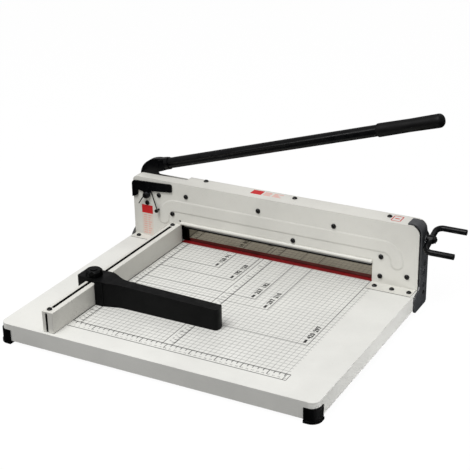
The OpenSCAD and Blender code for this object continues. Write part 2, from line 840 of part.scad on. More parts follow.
module nut_block() {
  color([0.72, 0.55, 0.25]) from_datum() difference() {
    block([458, slider_y + slider_t, screw_z - 13], [480, 26, screw_z + 13]);
    rod_x([screw_y, screw_z], 450, 490, screw_r + 0.1);
    for (x = block_screw_x) rod_y([x, 90], -20, 6, 1.8);
  }
}

module nut_block_screws() {
  color([0.3, 0.3, 0.3]) from_datum() for (x = block_screw_x) rod_y([x, 90], slider_y, slider_y + 11, 1.75);
}

module clamp_screw() {
  color([0.75, 0.75, 0.77]) from_datum() rod_x([screw_y, screw_z], 446, handle_x + 5.6, screw_r);
}

module screw_collar() {
  color([0.5, 0.5, 0.52]) from_datum() difference() {
    rod_x([screw_y, screw_z], plate_x - 9, plate_x - 6.5, 9.5);
    rod_x([screw_y, screw_z], plate_x - 20, plate_x, screw_r);
  }
}

module screw_bush() {
  color([0.72, 0.55, 0.25]) from_datum() difference() {
    union() {
      rod_x([screw_y, screw_z], plate_x - 6, plate_x + plate_t, 9);
      rod_x([screw_y, screw_z], plate_x - 6, plate_x - 0.2, 12);
    }
    rod_x([screw_y, screw_z], plate_x - 20, plate_x + 20, screw_r + run);
  }
}

// The handle's crossbar runs along Y here, tipped about the screw.
module clamp_handle() {
  r = handle_d / 2;
  half = handle_span / 2;
  color([0.06, 0.06, 0.07]) from_datum() translate([handle_x, screw_y, screw_z]) rotate([handle_tilt, 0, 0])
    difference() {
      union() {
        translate([0, half - bend_r, 0]) rotate([90, 0, 0]) cylinder(r = r, h = handle_span - 2 * bend_r);
        for (s = [-1, 1]) {
          translate([bend_r, s * (half - bend_r), 0]) rotate([0, 0, s > 0 ? 90 : 180])
            rotate_extrude(angle = 90) translate([bend_r, 0]) circle(r);
          translate([bend_r, s * half, 0]) rotate([0, 90, 0]) cylinder(r = r, h = prong_l - bend_r);
        }
        rotate([0, 90, 0]) translate([0, 0, -7]) cylinder(r = 8.5, h = 12.7);
      }
      rotate([0, 90, 0]) translate([0, 0, -20]) cylinder(r = screw_r, h = 40);
    }
}

module handle_nut() {
  color([0.06, 0.06, 0.07]) from_datum() translate([handle_x + 5.8, screw_y, screw_z]) rotate([0, 90, 0]) {
    cylinder(r = 7.5, h = 3.7, $fn = 6);
    translate([0, 0, 3.6]) cylinder(r1 = 5.6, r2 = 3.4, h = 2.4);
  }
}

// ---- latch ----

module latch_outline() {
  polygon(concat(
    arc([latch_left + 8, 115], 8, 8, 180, 90, 6),
    arc([-22.5, 122.8], 4, 4, 90, 0, 6),
    arc([-22.5, 113.4], 4, 4, 0, -90, 6),
    [[-66.3, 105.2], [-71, 100]],
    arc(latch_at, 7.5, 7.5, 10, -190, 14),
    [[-88.5, 101], [-96, 103], [-101, 103], [-102, 92], [-108, 88.5], [latch_left, 86]]));
}

module latch_plate() {
  color([0.06, 0.06, 0.07]) from_datum() difference() {
    union() {
      plate_xz(latch_y, latch_y + latch_t) latch_outline();
      block([latch_left, latch_y + eps, 99], [house_left - 0.2, latch_y + 24, 114]);
    }
    rod_y(latch_at, -30, 0, 4 + run);
  }
}

module latch_bolt() {
  color([0.06, 0.06, 0.07]) from_datum() {
    rod_y(latch_at, latch_y - 5, panel_y - gap, 4);
    rod_y(latch_at, panel_y - 1, inside_y + 4, 3);
    translate([latch_at[0], latch_y - 5, latch_at[1]]) rotate([90, 0, 0])
      cylinder(r1 = 6.5, r2 = 5.2, h = 2.5);
  }
}

// Torsion spring: two coils round the latch's bolt, a bent leg to the post and a
// straight one to the left.
module latch_spring() {
  wire = 1.1;
  coil = 6;
  elbow = [-66.3, 103.5];
  legs = [
    [latch_at + coil * [cos(40), sin(40)], elbow],
    [elbow, post_at + [-1.2, 3.3]],
    [latch_at + coil * [cos(200), sin(200)], [-98.5, 74]]];
  color([0.6, 0.6, 0.62]) from_datum() {
    for (i = [0, 1]) translate([latch_at[0], latch_y - 1.5 - 2.2 * i, latch_at[1]]) rotate([90, 0, 0])
      rotate_extrude() translate([coil, 0]) circle(wire + 0.02, $fn = 16);
    for (l = legs) let(d = l[1] - l[0]) translate([l[0][0], latch_y - 2.2, l[0][1]])
      rotate([0, 90 - atan2(d[1], d[0]), 0]) cylinder(r = wire, h = norm(d), $fn = 16);
    translate([elbow[0], latch_y - 2.2, elbow[1]]) sphere(wire + 0.08, $fn = 16);
  }
}

module spring_post() {
  color([0.06, 0.06, 0.07]) from_datum() {
    rod_y(post_at, panel_y - 8, inside_y, 2.3);
    rod_y(post_at, panel_y - 11, panel_y - 8 + eps, 3.9);
  }
}

base_tray();
base_ribs();
corner_feet();
foot_pads();
foot_screws();
cutting_stick();
stick_channel();
front_panel();
rear_panel();
left_side_plate();
right_side_plate();
housing_spacers();
panel_screws();
top_screws();
flange_screws();
rear_screws();
side_plate_screws();
fence_rail();
fence_screws();
fence_nuts();
gauge_body();
gauge_bolt();
gauge_washer();
gauge_knob();
lever_hub();
lever_tube();
lever_grip();
tube_pin();
lever_bush();
lever_bolt();
lever_spacer();
lever_nut();
blade_carrier();
blade();
blade_bolts();
carrier_pins();
link_arm();
link_stud();
link_spacer();
link_nut();
clamp_bar();
clamp_pad();
clamp_pins();
clamp_slider();
slider_rail();
slider_stud();
blade_guides();
nut_block();
nut_block_screws();
clamp_screw();
screw_collar();
screw_bush();
clamp_handle();
handle_nut();
latch_plate();
latch_bolt();
latch_spring();
spring_post();
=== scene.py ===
"""Looks for the guillotine paper cutter: materials, table print, labels, thread, light, camera."""
import json
import math

import bmesh
import bpy
from mathutils import Matrix, Vector


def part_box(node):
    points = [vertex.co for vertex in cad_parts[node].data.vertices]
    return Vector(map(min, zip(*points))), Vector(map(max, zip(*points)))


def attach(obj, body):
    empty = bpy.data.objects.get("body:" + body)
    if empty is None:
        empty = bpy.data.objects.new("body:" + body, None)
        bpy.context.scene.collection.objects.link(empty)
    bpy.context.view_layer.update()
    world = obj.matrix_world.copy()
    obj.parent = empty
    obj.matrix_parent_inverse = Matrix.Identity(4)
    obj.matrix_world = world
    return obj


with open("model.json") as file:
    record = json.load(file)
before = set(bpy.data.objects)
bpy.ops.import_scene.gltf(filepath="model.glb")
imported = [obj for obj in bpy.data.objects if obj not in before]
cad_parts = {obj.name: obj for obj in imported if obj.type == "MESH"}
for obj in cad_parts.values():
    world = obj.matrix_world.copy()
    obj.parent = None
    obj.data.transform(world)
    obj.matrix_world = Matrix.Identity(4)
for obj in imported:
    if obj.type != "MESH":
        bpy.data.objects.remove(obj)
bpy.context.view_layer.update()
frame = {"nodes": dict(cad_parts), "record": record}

MM = 0.001

# ---- places, all from the frame ----

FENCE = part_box("fence_rail")
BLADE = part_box("blade")
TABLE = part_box("base_tray")
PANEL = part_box("front_panel")
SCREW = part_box("clamp_screw")
SIDE_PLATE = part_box("right_side_plate")
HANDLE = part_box("clamp_handle")
DATUM = Vector((FENCE[1].x, BLADE[0].y, TABLE[1].z))  # fence face, blade face, table top
PANEL_FACE = (FENCE[1].y - DATUM.y) / MM + 0.3  # the fence stops just short of the panel
HOUSING_TOP = (PANEL[1].z - DATUM.z) / MM
BEAD_ENDS = (-12.0, 449.0)  # where the bead's ends start to turn down
BEAD_TURN = 50.0  # height of the turns' centres
BEAD_RADIUS = 29.5  # of the bead's middle line round each turn
BEAD_WIDTH = 25.0
BOLT_FIRST = 44.4  # the blade's first bolt seat, from the fence
BOLT_STEP = 52.4
BOLT_HEIGHT = 33.4


def at(x, y, z=0.0):
    """A point given in millimetres from the datum."""
    return DATUM + Vector((x, y, z)) * MM


# ---- node building ----


class Shader:
    """One material's node tree, with short calls for the nodes used here."""

    def __init__(self, name):
        self.material = bpy.data.materials.new(name)
        self.material.use_nodes = True
        self.tree = self.material.node_tree
        self.bsdf = self.tree.nodes["Principled BSDF"]
        self.coords = self.add("ShaderNodeTexCoord").outputs["Object"]

    def add(self, kind, **settings):
        node = self.tree.nodes.new(kind)
        for key, value in settings.items():
            setattr(node, key, value)
        return node

    def put(self, socket, value):
        """Sets a socket to a number or colour, or links it to another socket."""
        if isinstance(value, bpy.types.NodeSocket):
            self.tree.links.new(value, socket)
        else:
            socket.default_value = value

    def noise(self, scale, detail=4.0, rough=0.55, stretch=(1, 1, 1)):
        mapping = self.add("ShaderNodeMapping")
        self.put(mapping.inputs["Vector"], self.coords)
        mapping.inputs["Scale"].default_value = stretch
        node = self.add("ShaderNodeTexNoise")
        self.put(node.inputs["Vector"], mapping.outputs["Vector"])
        node.inputs["Scale"].default_value = scale
        node.inputs["Detail"].default_value = detail
        node.inputs["Roughness"].default_value = rough
        return node.outputs["Fac"]

    def math(self, operation, a, b=0.0, c=0.0):
        node = self.add("ShaderNodeMath", operation=operation)
        for socket, value in zip(node.inputs, (a, b, c)):
            self.put(socket, value)
        return node.outputs[0]

    def remap(self, value, low, high, to_low=0.0, to_high=1.0):
        node = self.add("ShaderNodeMapRange", interpolation_type="SMOOTHSTEP")
        for socket, given in zip(node.inputs, (value, low, high, to_low, to_high)):
            self.put(socket, given)
        return node.outputs["Result"]

    def mix(self, fac, a, b):
        node = self.add("ShaderNodeMix", data_type="RGBA")
        self.put(node.inputs["Factor"], fac)
        self.put(node.inputs["A"], rgba(a))
        self.put(node.inputs["B"], rgba(b))
        return node.outputs["Result"]

    def edge(self, radius, low=0.02, high=0.2):
        """1 on outside edges and corners, 0 on flats."""
        bevel = self.add("ShaderNodeBevel", samples=4)
        bevel.inputs["Radius"].default_value = radius
        dot = self.add("ShaderNodeVectorMath", operation="DOT_PRODUCT")
        self.put(dot.inputs[0], bevel.outputs["Normal"])
        self.put(dot.inputs[1], self.add("ShaderNodeNewGeometry").outputs["Normal"])
        turned = self.math("SUBTRACT", 1.0, dot.outputs["Value"])
        return self.remap(turned, low, high)

    def inside_box(self, *spans):
        """1 where the point lies inside every given (low, high) span of x, y and z, else 0."""
        axes = self.add("ShaderNodeSeparateXYZ")
        self.put(axes.inputs[0], self.coords)
        found = 1.0
        for span, value in zip(spans, axes.outputs):
            low, high = span or (None, None)
            if low is not None:
                found = self.math("MULTIPLY", self.math("GREATER_THAN", value, low), found)
            if high is not None:
                found = self.math("MULTIPLY", self.math("LESS_THAN", value, high), found)
        return found

    def length(self, a, b):
        squares = [self.math("MULTIPLY", side, side) for side in (a, b)]
        return self.math("SQRT", self.math("ADD", *squares))

    def bump(self, height, distance, strength=1.0):
        """Adds a bump on top of any bump already there."""
        node = self.add("ShaderNodeBump")
        if self.bsdf.inputs["Normal"].is_linked:
            self.put(node.inputs["Normal"], self.bsdf.inputs["Normal"].links[0].from_socket)
        node.inputs["Strength"].default_value = strength
        node.inputs["Distance"].default_value = distance
        self.put(node.inputs["Height"], height)
        self.put(self.bsdf.inputs["Normal"], node.outputs["Normal"])

    def finish(self, colour, rough, metal=0.0, **more):
        self.put(self.bsdf.inputs["Base Color"], rgba(colour))
        self.put(self.bsdf.inputs["Roughness"], rough)
        self.put(self.bsdf.inputs["Metallic"], metal)
        for key, value in more.items():
            self.put(self.bsdf.inputs[key.replace("_", " ")], value)
        return self.material


def rgba(colour):
    """A colour given as 0-255 screen values, made linear; sockets pass through."""
    if isinstance(colour, bpy.types.NodeSocket):
        return colour
    linear = [(c / 255) ** 2.2 for c in colour]
    return (*linear, 1.0)


# ---- materials ----


def inside_housing(s):
    """1 between the panels of the housing, under its top sheet."""
    y0, y1 = at(0, PANEL_FACE + 1.3, 0).y, PANEL[1].y + 0.0001
    return s.inside_box(None, (y0, y1), (None, PANEL[1].z - 0.0012))


def pressed_bead(s):
    """Height of the front panel's pressed bead, 0 to 1: a level band whose two ends turn down."""
    where = s.add("ShaderNodeSeparateXYZ")
    s.put(where.inputs[0], s.coords)
    low, high = at(BEAD_ENDS[0], 0), at(BEAD_ENDS[1], 0)
    from_middle = s.math("ABSOLUTE", s.math("SUBTRACT", where.outputs["X"], (low.x + high.x) / 2))
    out = s.math("MAXIMUM", s.math("SUBTRACT", from_middle, (high.x - low.x) / 2), 0.0)
    rise = s.math("SUBTRACT", where.outputs["Z"], at(0, 0, BEAD_TURN).z)
    up, down = s.math("MAXIMUM", rise, 0.0), s.math("MINIMUM", s.math("ADD", rise, 0.0015), 0.0)
    turn = s.math("SUBTRACT", s.length(out, up), BEAD_RADIUS * MM)
    away = s.length(turn, down)
    half = BEAD_WIDTH * MM / 2
    height = s.remap(away, half - 0.0026, half + 0.0022, 1.0, 0.0)
    facing = s.inside_box(None, (None, at(0, PANEL_FACE + 0.1).y))
    return s.math("MULTIPLY", height, facing)


def inside_fence(s):
    """1 in the fence's slot and in the slit down its front."""
    half = 0.0063
    middle = (FENCE[0].x + FENCE[1].x) / 2 + at(-2.3, 0).x - DATUM.x
    return s.inside_box(
        (middle - half, middle + half),
        (FENCE[0].y + 0.0003, FENCE[1].y),
        (None, FENCE[1].z - 0.0005),
    )


def powder_coat(name, colour, grain=900.0, gloss=0.42, dust=(150, 144, 130), hollow_shade_and_bead=False):
    """Powder-coated sheet: fine orange peel, faint mottling, painted shade with some dirt on edges and in
    creases, insides painted dark as shade.
    """
    s = Shader(name)
    cloud = s.remap(s.noise(9.0, 5.0), 0.35, 0.7)
    darker = [c * 0.965 for c in colour]
    base = s.mix(cloud, colour, darker)
    speck = s.remap(s.noise(620.0, 2.0), 0.68, 0.74, 0.0, 0.4)
    base = s.mix(speck, base, dust)
    # painted shade with some dirt: edges and creases are darkened
    crease_shade_and_grime = s.math("MULTIPLY", s.edge(0.0018), s.remap(s.noise(60.0, 3.0), 0.3, 0.7, 0.12, 0.3))
    base = s.mix(crease_shade_and_grime, base, [c * 0.72 for c in colour])
    if hollow_shade_and_bead:
        # painted shade: the housing's insides and the fence's slot are painted near black
        base = s.mix(s.math("MAXIMUM", inside_housing(s), inside_fence(s)), base, (26, 25, 25))
        contact_shadow_band = s.inside_box(None, None, (None, TABLE[1].z + 0.0009))
        base = s.mix(s.math("MULTIPLY", contact_shadow_band, 0.85), base, (58, 57, 55))  # painted contact shadow along the table
    rough = s.remap(s.noise(40.0, 3.0), 0.3, 0.7, gloss - 0.05, gloss + 0.08)
    s.bump(s.noise(grain, 2.0), 0.00006, 0.35)
    if hollow_shade_and_bead:
        s.bump(pressed_bead(s), 0.0012)
    return s.finish(base, rough)


def black_enamel(name, colour=(10, 11, 13), gloss=0.3, shine=0.17):
    """Black enamel on cast or forged steel: soft casting texture, dust, edges rubbed to grey."""
    s = Shader(name)
    rub = s.math("MULTIPLY", s.edge(0.0016, 0.03, 0.3), s.remap(s.noise(120.0, 4.0), 0.5, 0.68))
    base = s.mix(s.remap(s.noise(30.0, 4.0), 0.4, 0.75, 0.0, 0.45), colour, [c + 7 for c in colour])
    base = s.mix(s.math("MULTIPLY", rub, 0.45), base, (84, 82, 80))
    rough = s.remap(s.noise(75.0, 4.0), 0.3, 0.7, gloss - 0.07, gloss + 0.12)
    s.bump(s.noise(480.0, 3.0), 0.0001, 0.3)
    return s.finish(base, rough, Specular_IOR_Level=shine)


def moulded_plastic(name, colour=(9, 10, 11), gloss=0.45, shine=0.12):
    """Moulded plastic: spark-eroded grain and pale scuffs on its corners."""
    s = Shader(name)
    base = s.mix(s.remap(s.noise(18.0, 5.0), 0.35, 0.75, 0.0, 0.5), colour, [c + 7 for c in colour])
    scuff = s.math("MULTIPLY", s.edge(0.0012), s.remap(s.noise(200.0, 4.0), 0.5, 0.7))
    base = s.mix(s.math("MULTIPLY", scuff, 0.5), base, (60, 60, 62))
    rough = s.remap(s.noise(55.0, 3.0), 0.3, 0.7, gloss - 0.08, gloss + 0.1)
    s.bump(s.noise(1500.0, 2.0), 0.00008, 0.4)
    return s.finish(base, rough, Specular_IOR_Level=shine)


def soft_grip(name):
    """Moulded grip: matte, with a fine grain, polished in places by the hand."""
    s = Shader(name)
    base = s.mix(s.remap(s.noise(40.0, 5.0), 0.35, 0.7, 0.0, 0.6), (9, 9, 10), (19, 19, 20))
    rough = s.remap(s.noise(22.0, 3.0), 0.3, 0.7, 0.42, 0.66)
    s.bump(s.noise(1300.0, 3.0), 0.0001, 0.5)
    return s.finish(base, rough, Specular_IOR_Level=0.18)


def black_oxide(name):
    """Blackened screws: slightly oily, with bright rubbed corners."""
    s = Shader(name)
    rub = s.math("MULTIPLY", s.edge(0.0006), s.remap(s.noise(700.0, 3.0), 0.45, 0.65))
    base = s.mix(s.math("MULTIPLY", rub, 0.6), (8, 8, 9), (70, 68, 66))
    rough = s.remap(s.noise(300.0, 3.0), 0.3, 0.7, 0.3, 0.5)
    s.bump(s.noise(2200.0, 2.0), 0.00004, 0.3)
    return s.finish(base, rough, Specular_IOR_Level=0.3)


def brushed_metal(name, colour, rough=0.3, stretch=(1, 30, 30), scale=60.0, stain=(120, 112, 100)):
    """Ground or plated metal: fine lines along one axis, cloudy stains, brighter corners."""
    s = Shader(name)
    lines = s.noise(scale, 6.0, 0.7, stretch)
    base = s.mix(s.remap(lines, 0.35, 0.65, 0.0, 0.4), colour, [c * 0.82 for c in colour])
    base = s.mix(s.remap(s.noise(14.0, 5.0), 0.52, 0.8, 0.0, 0.35), base, stain)
    base = s.mix(s.math("MULTIPLY", s.edge(0.0008), 0.3), base, [min(255, c * 1.15) for c in colour])
    gloss = s.math("ADD", s.remap(lines, 0.3, 0.7, -0.05, 0.08), rough)
    s.bump(lines, 0.00004, 0.25)
    return s.finish(base, gloss, metal=1.0)


def bolt_rims(s):
    """1 on the dark rims of the blade's bolt seats, whose lower parts show under the panel's lip."""
    where = s.add("ShaderNodeSeparateXYZ")
    s.put(where.inputs[0], s.coords)
    half_step = BOLT_STEP / 2 * MM
    along = s.math("SUBTRACT", where.outputs["X"], at(BOLT_FIRST, 0).x)
    beside = s.math("WRAP", along, half_step, -half_step)
    above = s.math("SUBTRACT", where.outputs["Z"], at(0, 0, BOLT_HEIGHT).z)
    return s.remap(s.length(beside, above), 4.2 * MM, 5.2 * MM, 1.0, 0.0)


def polished_blade(name):
    """Ground blade face: near mirror, faint lengthwise lines, oil haze, dark bolt seats, and a heel
    painted dark as a reflection of the gap beside the fence.
    """
    s = Shader(name)
    lines = s.noise(36.0, 6.0, 0.75, (1, 40, 40))
    base = s.mix(s.remap(lines, 0.35, 0.7, 0.0, 0.5), (152, 146, 134), (118, 112, 101))
    base = s.mix(s.remap(s.noise(11.0, 4.0), 0.5, 0.75, 0.0, 0.4), base, (104, 94, 80))
    dark = s.math("MAXIMUM", bolt_rims(s), s.inside_box((None, at(13, 0).x)))  # heel painted dark: painted reflection of the dark gap beside the fence
    base = s.mix(dark, base, (24, 23, 22))
    gloss = s.math("ADD", s.remap(lines, 0.3, 0.7, 0.0, 0.04), 0.05)
    s.bump(lines, 0.00003, 0.18)
    return s.finish(base, gloss, metal=1.0)


def stick_plastic(name):
    """Red cutting stick: waxy plastic with a fine scored line where the blade lands."""
    s = Shader(name)
    base = s.mix(s.remap(s.noise(25.0, 4.0), 0.35, 0.7), (138, 22, 28), (112, 15, 21))
    where = s.add("ShaderNodeSeparateXYZ")
    s.put(where.inputs[0], s.coords)
    away = s.math("ABSOLUTE", s.math("SUBTRACT", where.outputs["Y"], BLADE[1].y - 0.00015))
    score = s.remap(away, 0.0003, 0.0007, 1.0, 0.0)
    base = s.mix(s.math("MULTIPLY", score, 0.7), base, (58, 8, 12))
    s.bump(s.math("SUBTRACT", s.noise(500.0, 3.0), s.math("MULTIPLY", score, 3.0)), 0.00012, 0.4)
    return s.finish(base, s.remap(s.noise(60.0, 3.0), 0.3, 0.7, 0.34, 0.5))


def ink(name, colour, wear=0.25):
    """Screen-printed ink, thin and slightly broken."""
    s = Shader(name)
    paler = [c + (225 - c) * 0.5 for c in colour]
    base = s.mix(s.remap(s.noise(450.0, 4.0), 0.5, 0.72, 0.0, wear), colour, paler)
    s.bump(s.noise(900.0, 2.0), 0.00003, 0.3)
    return s.finish(base, s.remap(s.noise(90.0, 2.0), 0.3, 0.7, 0.45, 0.6))


SLOT_MATERIALS = {
    "table_paint": powder_coat("table_powder_coat", (230, 230, 225), gloss=0.4),
    "housing_paint": powder_coat("housing_powder_coat", (221, 220, 213), gloss=0.38, hollow_shade_and_bead=True),
    "black_enamel": black_enamel("black_enamel"),
    "side_plate_paint": black_enamel("side_plate_coat", (58, 60, 63), 0.32, 0.5),
    "black_plastic": moulded_plastic("moulded_black"),
    "grip": soft_grip("grip_black"),
    "screw_black": black_oxide("black_oxide"),
    "blade_steel": polished_blade("blade_polish"),
    "steel": brushed_metal("machined_steel", (150, 150, 150), 0.33),
    "zinc": brushed_metal("zinc_plate", (196, 198, 200), 0.3, (6, 6, 6), 90.0, (150, 146, 128)),
    "bronze": brushed_metal("bronze", (176, 136, 80), 0.38, (8, 8, 8), 90.0, (110, 84, 50)),
    "stick_red": stick_plastic("stick_red"),
    "rubber": moulded_plastic("rubber_black", (22, 22, 22), 0.7),
}
SPRING_STEEL = brushed_metal("spring_steel", (52, 53, 56), 0.3, (20, 20, 20), 120.0, (40, 36, 32))
THREAD_STEEL = brushed_metal("thread_steel", (206, 208, 210), 0.2, (20, 20, 20), 80.0, (170, 168, 160))
INK_DARK = ink("ink_dark", (62, 62, 62))
INK_BLACK = ink("ink_black", (34, 34, 34))
INK_PALE = ink("ink_pale", (128, 128, 126), 0.3)
LABEL_RED = ink("label_red", (196, 26, 30), 0.15)
LABEL_PINK = ink("label_pink", (226, 150, 140), 0.3)
LABEL_PAPER = ink("label_paper", (216, 206, 196), 0.2)

# ---- modifiers on the CAD nodes ----

BEVELS = {  # edge rounding in millimetres, where the part isn't sharp machined metal
    "base_tray": 1.5, "corner_feet": 1.2, "fence_rail": 1.6, "gauge_body": 1.4, "gauge_knob": 0.8,
    "right_side_plate": 0.7, "left_side_plate": 0.7, "front_panel": 0.35, "rear_panel": 0.35,
    "latch_plate": 0.8, "handle_nut": 0.5, "clamp_bar": 0.4, "foot_pads": 0.4,
    "screw_bush": 0.6, "panel_screws": 0.25, "top_screws": 0.25, "flange_screws": 0.25,
    "fence_screws": 0.25, "rear_screws": 0.25, "lever_hub": 3.2, "link_arm": 0.5,
    "spring_post": 0.3, "latch_bolt": 0.3,
    "lever_nut": 0.4, "link_nut": 0.4, "blade_carrier": 0.4, "gauge_washer": 0.2, "cutting_stick": 0.3,
}


def dress_cad_nodes():
    """Gives each CAD node its material, and rounds its edges."""
    slots = {s["node"]: s["material_slot"] for s in frame["record"]["subparts"]}
    for name, obj in frame["nodes"].items():
        obj.data.materials.clear()
        own = SPRING_STEEL if name == "latch_spring" else SLOT_MATERIALS[slots[name]]
        obj.data.materials.append(own)
        weld = obj.modifiers.new("weld", "WELD")
        weld.merge_threshold = 0.000002
        if name in BEVELS:
            bevel = obj.modifiers.new("bevel", "BEVEL")
            bevel.width = BEVELS[name] * MM
            bevel.segments = 3
            bevel.limit_method = "ANGLE"
            bevel.angle_limit = math.radians(38)
            bevel.miter_outer = "MITER_ARC"
            bevel.harden_normals = False


# ---- building pieces ----


def add_piece(name, bm, material, body, smooth_angle=35):
    """Makes an object from a bmesh, in the row frame, and rides it on a body."""
    mesh = bpy.data.meshes.new(name)
    bmesh.ops.recalc_face_normals(bm, faces=bm.faces)
    bm.to_mesh(mesh)
    bm.free()
    mesh.materials.append(material)
    mesh.shade_smooth()
    mesh.set_sharp_from_angle(angle=math.radians(smooth_angle))
    obj = bpy.data.objects.new(name, mesh)
    bpy.context.scene.collection.objects.link(obj)
    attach(obj, body)
    return obj


def slab(bm, corners, lift, normal=Vector((0, 0, 1)), depth=0.03 * MM):
    """A thin closed slab on a surface: its corners lie on the surface, anticlockwise from outside."""
    top = [bm.verts.new(c + normal * lift) for c in corners]
    low = [bm.verts.new(c - normal * depth) for c in corners]
    bm.faces.new(top)
    bm.faces.new(low[::-1])
    for i in range(len(corners)):
        j = (i + 1) % len(corners)
        bm.faces.new((low[i], low[j], top[j], top[i]))


def stroke(bm, a, b, width, lift=0.05 * MM, normal=Vector((0, 0, 1))):
    """A straight printed line from a to b, in row-frame metres, with width in millimetres."""
    along = (b - a).normalized()
    side = normal.cross(along) * (width * MM / 2)
    slab(bm, [a - side, b - side, b + side, a + side], lift, normal)


# ---- printed table ----

RULER_LEFT = (0.6, 17.5)
RULER_MIDDLE = (192.5, 212.2)
RULER_FRONT = (-424.4, -403.8)
RULER_END = 444.0
GRID_RIGHT = 440.0
STICK_FRONT = -10.0
PAPERS = [(128, 91), (182, 128), (257, 182), (297, 210), (420, 297)]


def across(x):
    """Place along the blade of a printed distance from the fence; the print runs a little large."""
    return x * 1.0125


def back(y):
    """Place in front of the blade of a printed distance from the cut."""
    return 7.5 - y * 1.03


def print_grid():
    """The faint centimetre grid over the table, between the stick and the front ruler."""
    bm = bmesh.new()
    for n in range(2, 44):
        x = across(10 * n)
        if x < GRID_RIGHT and not RULER_MIDDLE[0] - 1 < x < RULER_MIDDLE[1] + 1:
            stroke(bm, at(x, RULER_FRONT[1]), at(x, STICK_FRONT), 0.6)
    for n in range(2, 40):
        y = back(10 * n)
        stroke(bm, at(RULER_LEFT[1], y), at(RULER_MIDDLE[0], y), 0.75)
        stroke(bm, at(RULER_MIDDLE[1], y), at(GRID_RIGHT, y), 0.75)
    add_piece("table_print_grid", bm, INK_PALE, "housing")


def tick_length(n):
    """How long a ruler tick is, by its distance in millimetres."""
    return 15.0 if n % 50 == 0 else 7.5 if n % 10 == 0 else 3.5 if n % 5 == 0 else 2.2


def tick_width(n):
    return 1.5 if n % 10 == 0 else 0.3


def print_rulers():
    """Ruler bands with their ticks, and the format outlines."""
    bm = bmesh.new()
    for x in (*RULER_LEFT, *RULER_MIDDLE):
        stroke(bm, at(x, RULER_FRONT[1]), at(x, STICK_FRONT), 1.3)
    for y in RULER_FRONT:
        stroke(bm, at(RULER_LEFT[0], y), at(RULER_END, y), 1.7)
    for x in (RULER_END - 6.5, RULER_END):
        stroke(bm, at(x, RULER_FRONT[0]), at(x, RULER_FRONT[1]), 1.1)
    for n in range(20, 400):
        y, length, width = back(n), tick_length(n), tick_width(n)
        for right in (RULER_LEFT[1], RULER_MIDDLE[1]):
            stroke(bm, at(right - length, y), at(right, y), width)
    for n in range(1, 438):
        x, length, width = across(n), tick_length(n), tick_width(n)
        stroke(bm, at(x, RULER_FRONT[1] - length), at(x, RULER_FRONT[1]), width)
    for wide, deep in PAPERS:
        x, y = across(wide), back(deep)
        stroke(bm, at(x, y), at(x, STICK_FRONT), 1.3)
        stroke(bm, at(RULER_LEFT[1], y), at(x + 0.65, y), 1.3)
    add_piece("table_print_rulers", bm, INK_DARK, "housing")


def digit_meshes(size, bold=0.0):
    """A flat mesh for each digit, from Blender's own font, its strokes widened by bold x size."""
    found = {}
    for digit in "0123456789":
        curve = bpy.data.curves.new("digit", "FONT")
        curve.body = digit
        curve.size = size
        curve.offset = size * bold
        curve.resolution_u = 2
        holder = bpy.data.objects.new("digit", curve)
        bpy.context.scene.collection.objects.link(holder)
        bpy.context.view_layer.update()
        found[digit] = holder.to_mesh().copy()
        bpy.data.objects.remove(holder)
    return found


def write_number(bm, digits, number, place, turn, size):
    """Lays a number flat on the table, centred on place and turned about Z."""
    text = str(number)
    step = size * 0.56
    for i, digit in enumerate(text):
        across = (i - (len(text) - 1) / 2) * step - size * 0.27
        local = Matrix.Translation((across, -size * 0.36, 0))
        move = Matrix.Translation(place) @ Matrix.Rotation(turn, 4, "Z") @ local
        before = len(bm.verts)
        bm.from_mesh(digits[digit])
        bm.verts.ensure_lookup_table()
        bmesh.ops.transform(bm, matrix=move, verts=bm.verts[before:])


def thicken_print(bm):
    """Gives flat letters on the table a body that starts just under the surface."""
    flat = list(bm.faces)
    bmesh.ops.translate(bm, verts=bm.verts, vec=(0, 0, -0.03 * MM))
    raised = bmesh.ops.extrude_face_region(bm, geom=flat)
    tops = [v for v in raised["geom"] if isinstance(v, bmesh.types.BMVert)]
    bmesh.ops.translate(bm, verts=tops, vec=(0, 0, 0.08 * MM))


def print_numbers():
    """Centimetre numbers along the three rulers."""
    size = 5.0 * MM
    digits = digit_meshes(size)
    bm = bmesh.new()
    for n in range(3, 40):
        for right in (RULER_LEFT[1], RULER_MIDDLE[1]):
            write_number(bm, digits, n, at(right - 11.5, back(10 * n) + 3.4), math.pi / 2, size)
    for n in range(1, 44):
        write_number(bm, digits, n, at(across(10 * n) + 3.4, RULER_FRONT[0] + 6), 0.0, size)
    thicken_print(bm)
    add_piece("table_print_numbers", bm, INK_DARK, "housing")


def print_sizes():
    """Each format's size in plain millimetres, beside its outline, and a plain bar after it."""
    size = 13.0 * MM
    digits = digit_meshes(size, 0.05)
    bm = bmesh.new()
    for wide, deep in PAPERS:
        x, y = across(wide) - 9.5, back(deep)
        write_number(bm, digits, wide, at(x, y + 34), math.pi / 2, size)
        write_number(bm, digits, deep, at(x, y + 62 if deep > 99 else y + 57), math.pi / 2, size)
    thicken_print(bm)
    for wide, deep in PAPERS:
        x, y = across(wide) - 9.5, back(deep)
        stroke(bm, at(x, y + 6), at(x, y + 17), 5.0)
    add_piece("table_print_sizes", bm, INK_BLACK, "housing")


# ---- labels: plain generic colour patches ----

FRONT = Vector((0, -1, 0))


def label_patch(bm, x0, z0, x1, z1, lift=0.12 * MM):
    places = ((x0, z0), (x1, z0), (x1, z1), (x0, z1))
    slab(bm, [at(x, PANEL_FACE, z) for x, z in places], lift, FRONT)


